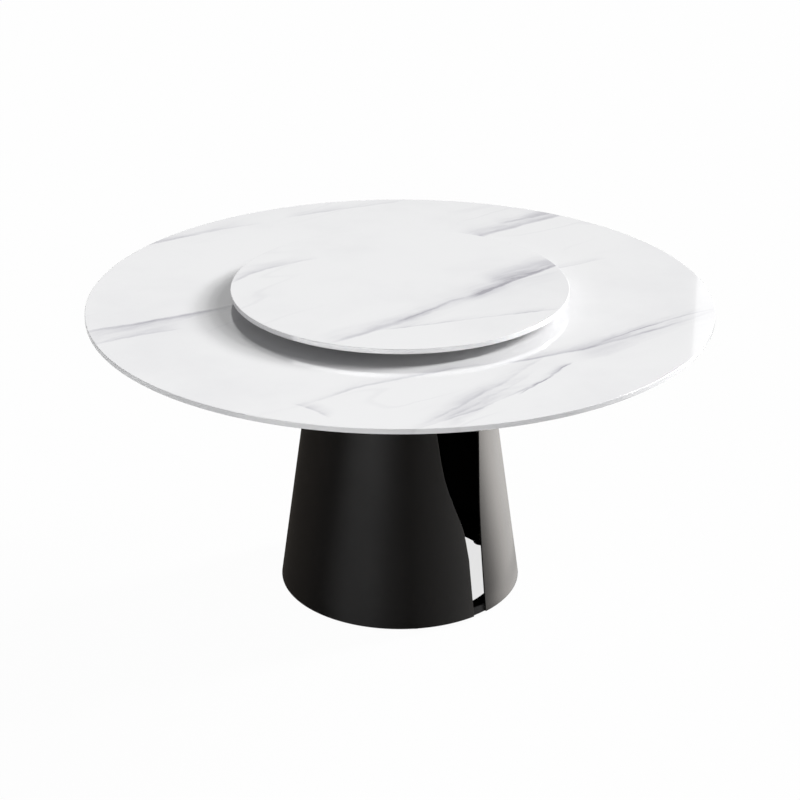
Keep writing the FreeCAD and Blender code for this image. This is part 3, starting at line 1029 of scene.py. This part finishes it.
@dataclass
class Studio:
    """Pale floor, soft lights and the camera."""

    aim_height: float = 0.48232
    distance: float = 4.98042
    elevation: float = math.radians(23.984)
    lens: float = 91.303
    floor_size: float = 60.0
    floor_white: float = 0.975
    # Painted shade under the base: inside the base's footprint the floor's white glow is weaker, so the
    # floor's real shading shows there; below are that white share and the radii over which it fades in.
    floor_painted_shade: float = 0.77
    floor_painted_shade_reach: Place = (0.262, 0.292)
    floor_colour: Colour = (0.54, 0.54, 0.54)
    floor_roughness: float = 0.9
    sky_colour: Colour = (0.155, 0.157, 0.163)
    sky_mirrored: Colour = (0.74, 0.74, 0.74)
    screen_levels: tuple[Triple, ...] = (
        (-180, 0.06, 1.0), (-110, 0.07, 1.0), (-75, 0.1, 1.0), (-54, 0.065, 0.4), (-37, 0.32, 0.0),
        (-21, 0.31, 0.0), (-7, 0.13, 0.2), (7, 0.08, 0.5), (21, 0.225, 0.3), (45, 0.49, 0.2), (58, 0.8, 0.3),
        (66, 1.25, 0.4), (72, 1.9, 0.4), (78, 2.6, 0.4), (88, 2.8, 0.4), (94, 2.5, 0.4), (101, 2.05, 0.3),
        (110, 1.55, 0.3), (120, 1.1, 0.3), (136, 0.6, 0.3), (180, 0.1, 1.0))
    screen_warmth: Colour = (0.0, 0.1, 0.2)
    screen_lift: tuple[Place, ...] = ((0.0, 0.97), (0.33, 1.36))
    screen_lifted: Place = (45, 75)
    screen_sweep: float = 3.0
    screen_profile: tuple[Place, ...] = ((0.306, 0.004), (0.42, 0.004), (0.42, 0.66))
    screen_steps: int = 96
    panel_place: tuple[float, float, float, float] = (2.585, 9.0, 12.0, 12.0)
    panel_level: float = 1.17
    wall_distance: float = 6.0
    wall_steps: int = 24
    second_mirror: float = 1.5
    walls: tuple[tuple[str, Place, Place, float], ...] = (
        ("front_left", (-74, -6), (2.0, 5.2), 4.0),
        ("front_middle", (-6, 24), (2.0, 5.2), 2.8),
        ("front_right", (24, 84), (2.0, 5.2), 2.9))
    key_azimuth: float = math.radians(116.6)
    key_lamps: tuple[tuple[str, float, float, float], ...] = (
        ("key_low", 20, 9, 3.86), ("key_middle", 29, 9, 2.14), ("key_high", 41, 14, 0.92))
    fill_size: Place = (5.0, 2.0)
    fill_radiance: float = 3.8
    fill_azimuth: float = math.radians(-30)
    fill_distance: float = 7.0
    fill_height: float = 1.1

    def build(self) -> None:
        """Set the stage round the table."""
        bpy.context.scene.view_settings.view_transform = "Standard"
        self.floor()
        self.sky()
        self.key_light()
        self.front_fill()
        self.screen()
        self.back_panel()
        self.front_walls()
        self.camera()

    def floor(self) -> None:
        """Pale floor that the camera sees as white from above, with painted shade within the base's
        footprint, and looks through from below.
        """
        bm = bmesh.new()
        bmesh.ops.create_grid(bm, x_segments=1, y_segments=1, size=self.floor_size / 2)
        plane = stand(bm, "studio_floor")
        coat = Coat("studio_floor")
        plane.data.materials.append(coat.material)
        coat.set(Base_Color=self.floor_colour, Roughness=self.floor_roughness)
        rays = coat.node("ShaderNodeLightPath").outputs
        seen = coat.math("MAXIMUM", rays["Is Camera Ray"], rays["Is Transmission Ray"])
        reach = coat.vector("LENGTH", coat.coordinates())
        # Painted shade: the white glow is weaker within the base's footprint, so the real shading there shows
        # through.
        share = coat.remap(reach, *self.floor_painted_shade_reach, self.floor_painted_shade, self.floor_white)
        white = coat.node("ShaderNodeEmission", {"Strength": 1.0}).outputs["Emission"]
        above = coat.node("ShaderNodeMixShader", {
            "Fac": coat.math("MULTIPLY", seen, share), 1: coat.shader.outputs["BSDF"], 2: white})
        behind = coat.node("ShaderNodeNewGeometry").outputs["Backfacing"]
        clear = coat.node("ShaderNodeBsdfTransparent").outputs["BSDF"]
        sided = coat.node("ShaderNodeMixShader", {"Fac": behind, 1: above.outputs["Shader"], 2: clear})
        coat.feed(coat.output.inputs["Surface"], sided.outputs["Shader"])

    def sky(self) -> None:
        """Even soft light from all round, white where it is seen or mirrored."""
        world = bpy.data.worlds.new("studio_sky")
        bpy.context.scene.world = world
        world.use_nodes = True
        graph = Graph(world.node_tree)
        rays = graph.node("ShaderNodeLightPath").outputs
        seen = graph.math("MAXIMUM", rays["Is Camera Ray"], rays["Is Transmission Ray"])
        colour = graph.mix(rays["Is Glossy Ray"], self.sky_colour, self.sky_mirrored)
        back = graph.node("ShaderNodeBackground", {"Color": graph.mix(seen, colour, WHITE)})
        graph.node("ShaderNodeOutputWorld", {"Surface": back.outputs["Background"]})

    def key_light(self) -> None:
        """Tall key light at the right, far away: suns above one another."""
        for name, degrees, spread, power in self.key_lamps:
            elevation = math.radians(degrees)
            light = bpy.data.lights.new(name, "SUN")
            light.energy = power
            light.angle = math.radians(spread)
            lamp = bpy.data.objects.new(name, light)
            bpy.context.scene.collection.objects.link(lamp)
            lamp.location = around(self.key_azimuth, math.cos(elevation), math.sin(elevation))
            lamp.rotation_euler = lamp.location.to_track_quat("Z", "Y").to_euler()

    def front_fill(self) -> None:
        """Wide soft box behind the camera that lifts the rims."""
        light = bpy.data.lights.new("front_fill", "AREA")
        light.shape = "RECTANGLE"
        light.size, light.size_y = self.fill_size
        light.energy = self.fill_radiance * math.pi * light.size * light.size_y
        lamp = bpy.data.objects.new("front_fill", light)
        bpy.context.scene.collection.objects.link(lamp)
        lamp.location = around(self.fill_azimuth, self.fill_distance, self.fill_height)
        lamp.rotation_euler = (math.pi / 2, 0.0, self.fill_azimuth)
        lamp.visible_camera = False

    def screen(self) -> None:
        """Ring-shaped screen round the base, bright at the right, which only mirrors see."""
        bm = bmesh.new()
        verts = [bm.verts.new(around(0.0, *place)) for place in self.screen_profile]
        edges = [bm.edges.new(pair) for pair in zip(verts, verts[1:])]
        bmesh.ops.spin(bm, geom=verts + edges, cent=ORIGIN, axis=UP, angle=FULL_TURN,
                       steps=self.screen_steps, use_merge=True)
        coat = self.mirrored_sheet(bm, "studio_screen")
        right, back, height = coat.split(coat.coordinates())
        azimuth = coat.math("ARCTAN2", right, coat.math("MULTIPLY", back, -1.0))
        reach = coat.vector("LENGTH", coat.vector("MULTIPLY", coat.coordinates(), LEVEL))
        sweep = coat.math("MULTIPLY", coat.math("SUBTRACT", self.screen_profile[-1][0], reach),
                          self.screen_sweep)
        swept = coat.math("MULTIPLY_ADD", azimuth, sweep, azimuth)
        share = coat.math("MULTIPLY_ADD", swept, 1.0 / FULL_TURN, 0.5)
        brightest = max(level for _, level, _ in self.screen_levels)
        stops = [(self.ring_share(degrees),
                  tuple(level / brightest * (1.0 - warmth * cut) for cut in self.screen_warmth))
                 for degrees, level, warmth in self.screen_levels]
        (low, low_lift), (high, high_lift) = self.screen_lift
        lift = coat.remap(height, low, high, low_lift - 1.0, high_lift - 1.0)
        lifted = coat.remap(share, *map(self.ring_share, self.screen_lifted))
        strength = coat.math("MULTIPLY_ADD", coat.math("MULTIPLY", lift, lifted), brightest, brightest)
        coat.set(Emission_Color=coat.ramp(share, stops), Emission_Strength=strength)

    @staticmethod
    def ring_share(degrees: float) -> float:
        """Share of the way round from the back to an azimuth."""
        return 0.5 + degrees / 360

    def back_panel(self) -> None:
        """Bright panel far behind the table at the right, which only mirrors see."""
        left, right, distance, height = self.panel_place
        bm = bmesh.new()
        corners = ((left, 0.0), (right, 0.0), (right, height), (left, height))
        bm.faces.new([bm.verts.new((across, distance, up)) for across, up in corners])
        coat = self.mirrored_sheet(bm, "studio_panel")
        coat.set(Emission_Color=WHITE, Emission_Strength=self.panel_level)

    def front_walls(self) -> None:
        """Curved walls round the table, which only a mirror in another mirror sees."""
        for name, turns, heights, level in self.walls:
            start, end = (math.radians(turn) for turn in turns)
            bm = bmesh.new()
            verts = [bm.verts.new(around(start, self.wall_distance, height)) for height in heights]
            edge = bm.edges.new(verts)
            bmesh.ops.spin(bm, geom=[*verts, edge], cent=ORIGIN, axis=UP, angle=end - start,
                           steps=self.wall_steps)
            coat = self.mirrored_sheet(bm, f"studio_wall_{name}")
            mirrors = coat.node("ShaderNodeLightPath").outputs["Glossy Depth"]
            twice = coat.math("GREATER_THAN", mirrors, self.second_mirror)
            coat.set(Emission_Color=WHITE, Emission_Strength=level, Alpha=twice)

    @staticmethod
    def mirrored_sheet(bm: bmesh.types.BMesh, name: str) -> Coat:
        """Stand a glowing sheet that only mirrors see.

        Args:
            bm: the sheet's shape, which is freed.
            name: its name.

        Returns:
            Its material's graph, still black.
        """
        sheet = stand(bm, name)
        for ray in ("camera", "diffuse", "transmission", "shadow", "volume_scatter"):
            setattr(sheet, f"visible_{ray}", False)
        coat = Coat(name)
        coat.set(Base_Color=BLACK, Specular_IOR_Level=0.0)
        sheet.data.materials.append(coat.material)
        return coat

    def camera(self) -> None:
        """Camera at the height and distance of the photograph."""
        data = bpy.data.cameras.new("camera")
        data.lens = self.lens
        camera = bpy.data.objects.new("camera", data)
        bpy.context.scene.collection.objects.link(camera)
        camera.location = around(0.0, self.distance * math.cos(self.elevation),
                                 self.aim_height + self.distance * math.sin(self.elevation))
        camera.rotation_euler = (math.pi / 2 - self.elevation, 0.0, 0.0)
        bpy.context.scene.camera = camera


def main() -> None:
    """Build every assembly in order."""
    logging.basicConfig(level=logging.INFO, format="%(name)s: %(message)s")
    assemblies: list[Assembly] = [
        StoneDisc(),
        StoneDisc("lazy_susan", node="turntable_disc", name="stone_turntable", finish=DISC_STONE),
        BoardMounting(),
        ConicalBase(),
        FootNuts(),
        BearingSeat(),
        BallCage(),
        DiscCarrier(),
        *(LevellingFoot(number=number) for number in range(1, FOOT_COUNT + 1)),
    ]
    for assembly in assemblies:
        assembly.build()
        for made in assembly.pieces:
            LOG.info("%s: %s on %s", type(assembly).__name__, made.name, assembly.body)
    Studio().build()


if __name__ == "__main__":
    main()
